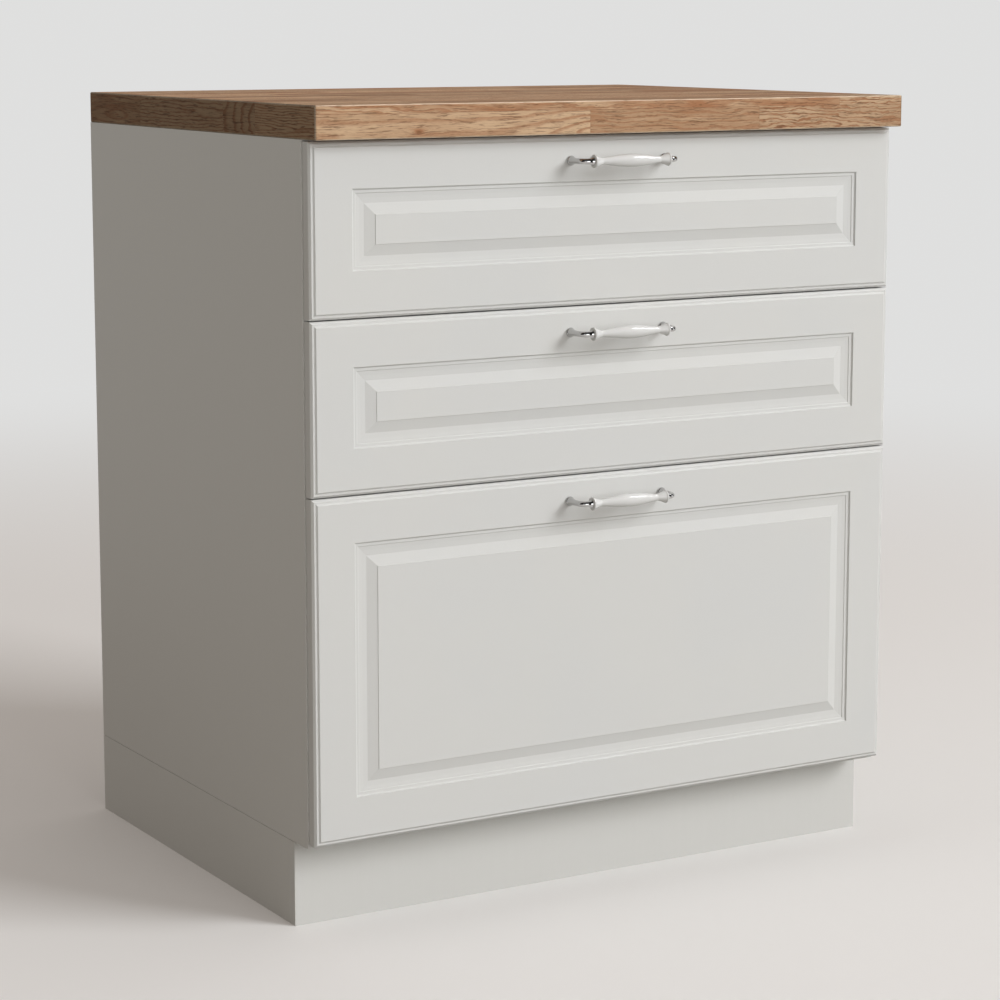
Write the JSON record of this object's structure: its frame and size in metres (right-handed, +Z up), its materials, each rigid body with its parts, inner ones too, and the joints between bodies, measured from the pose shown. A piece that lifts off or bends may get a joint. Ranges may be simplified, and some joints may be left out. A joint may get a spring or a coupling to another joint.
{
  "type": "base cabinet with drawers",
  "caption": "Kitchen base cabinet with pull-out drawers behind raised-panel fronts, a wood worktop, a set-back plinth and ceramic bow handles.",
  "frame": {"origin": "on the floor, under the middle of the bounding box, handles and worktop included", "axes": "+Z up; the drawer fronts face -Y; +X to the right when facing the fronts"},
  "size_m": [0.8, 0.6538, 0.938],
  "materials": {
    "painted_front": "satin off-white paint on a milled board",
    "carcass_board": "off-white faced board with matching edging",
    "box_board": "white melamine faced board",
    "back_board": "white faced hardboard",
    "oak_worktop": "oiled solid wood staves glued side by side",
    "ceramic": "white glossy glaze",
    "chrome": "polished",
    "runner_steel": "zinc plated sheet",
    "zinc_steel": "zinc plated",
    "black_plastic": "moulded, matt",
    "soft_stop": "clear soft stop"
  },
  "bodies": {
    "cabinet": {"side_panel_left": "carcass_board", "side_panel_right": "carcass_board", "bottom_panel": "carcass_board", "top_rail_front": "carcass_board", "top_rail_rear": "carcass_board", "back_panel": "back_board", "worktop": "oak_worktop", "plinth_front": "carcass_board", "plinth_left": "carcass_board", "plinth_right": "carcass_board", "leg_sockets": "black_plastic", "plinth_clips": "black_plastic", "front_bumpers": "soft_stop", "cabinet_fixings": "zinc_steel", "runner_1_left_outer": "runner_steel", "runner_1_right_outer": "runner_steel", "runner_2_left_outer": "runner_steel", "runner_2_right_outer": "runner_steel", "runner_3_left_outer": "runner_steel", "runner_3_right_outer": "runner_steel"},
    "runner_1_middle": {"runner_1_left_middle": "runner_steel", "runner_1_right_middle": "runner_steel"},
    "runner_2_middle": {"runner_2_left_middle": "runner_steel", "runner_2_right_middle": "runner_steel"},
    "runner_3_middle": {"runner_3_left_middle": "runner_steel", "runner_3_right_middle": "runner_steel"},
    "drawer_1": {"drawer_1_front": "painted_front", "drawer_1_side_left": "box_board", "drawer_1_side_right": "box_board", "drawer_1_back": "box_board", "drawer_1_bottom": "back_board", "runner_1_left_inner": "runner_steel", "runner_1_right_inner": "runner_steel", "drawer_1_handle_grip": "ceramic", "drawer_1_handle_posts": "chrome", "drawer_1_fixings": "zinc_steel"},
    "drawer_2": {"drawer_2_front": "painted_front", "drawer_2_side_left": "box_board", "drawer_2_side_right": "box_board", "drawer_2_back": "box_board", "drawer_2_bottom": "back_board", "runner_2_left_inner": "runner_steel", "runner_2_right_inner": "runner_steel", "drawer_2_handle_grip": "ceramic", "drawer_2_handle_posts": "chrome", "drawer_2_fixings": "zinc_steel"},
    "drawer_3": {"drawer_3_front": "painted_front", "drawer_3_side_left": "box_board", "drawer_3_side_right": "box_board", "drawer_3_back": "box_board", "drawer_3_bottom": "back_board", "runner_3_left_inner": "runner_steel", "runner_3_right_inner": "runner_steel", "drawer_3_handle_grip": "ceramic", "drawer_3_handle_posts": "chrome", "drawer_3_fixings": "zinc_steel"},
    "foot_front_left": {"leg_front_left_foot": "black_plastic"},
    "foot_front_right": {"leg_front_right_foot": "black_plastic"},
    "foot_rear_left": {"leg_rear_left_foot": "black_plastic"},
    "foot_rear_right": {"leg_rear_right_foot": "black_plastic"}
  },
  "joints": [
    {"name": "drawer_1_slide", "type": "slide", "parent": "cabinet", "child": "drawer_1", "axis": [0, -1, 0], "range_m": [0, 0.55]},
    {"name": "drawer_2_slide", "type": "slide", "parent": "cabinet", "child": "drawer_2", "axis": [0, -1, 0], "range_m": [0, 0.55]},
    {"name": "drawer_3_slide", "type": "slide", "parent": "cabinet", "child": "drawer_3", "axis": [0, -1, 0], "range_m": [0, 0.55]},
    {"name": "runner_1_middle_slide", "type": "slide", "parent": "cabinet", "child": "runner_1_middle", "axis": [0, -1, 0], "range_m": [0, 0.275]},
    {"name": "runner_2_middle_slide", "type": "slide", "parent": "cabinet", "child": "runner_2_middle", "axis": [0, -1, 0], "range_m": [0, 0.275]},
    {"name": "runner_3_middle_slide", "type": "slide", "parent": "cabinet", "child": "runner_3_middle", "axis": [0, -1, 0], "range_m": [0, 0.275]},
    {"name": "foot_front_left_turn", "type": "hinge", "parent": "cabinet", "child": "foot_front_left", "pos_m": [-0.324, -0.1621, 0], "axis": [0, 0, 1], "continuous": true},
    {"name": "foot_front_right_turn", "type": "hinge", "parent": "cabinet", "child": "foot_front_right", "pos_m": [0.324, -0.1621, 0], "axis": [0, 0, 1], "continuous": true},
    {"name": "foot_rear_left_turn", "type": "hinge", "parent": "cabinet", "child": "foot_rear_left", "pos_m": [-0.324, 0.2669, 0], "axis": [0, 0, 1], "continuous": true},
    {"name": "foot_rear_right_turn", "type": "hinge", "parent": "cabinet", "child": "foot_rear_right", "pos_m": [0.324, 0.2669, 0], "axis": [0, 0, 1], "continuous": true}
  ],
  "couplings": [
    {"joint": "runner_1_middle_slide", "follows": "drawer_1_slide", "ratio": 0.5},
    {"joint": "runner_2_middle_slide", "follows": "drawer_2_slide", "ratio": 0.5},
    {"joint": "runner_3_middle_slide", "follows": "drawer_3_slide", "ratio": 0.5}
  ]
}
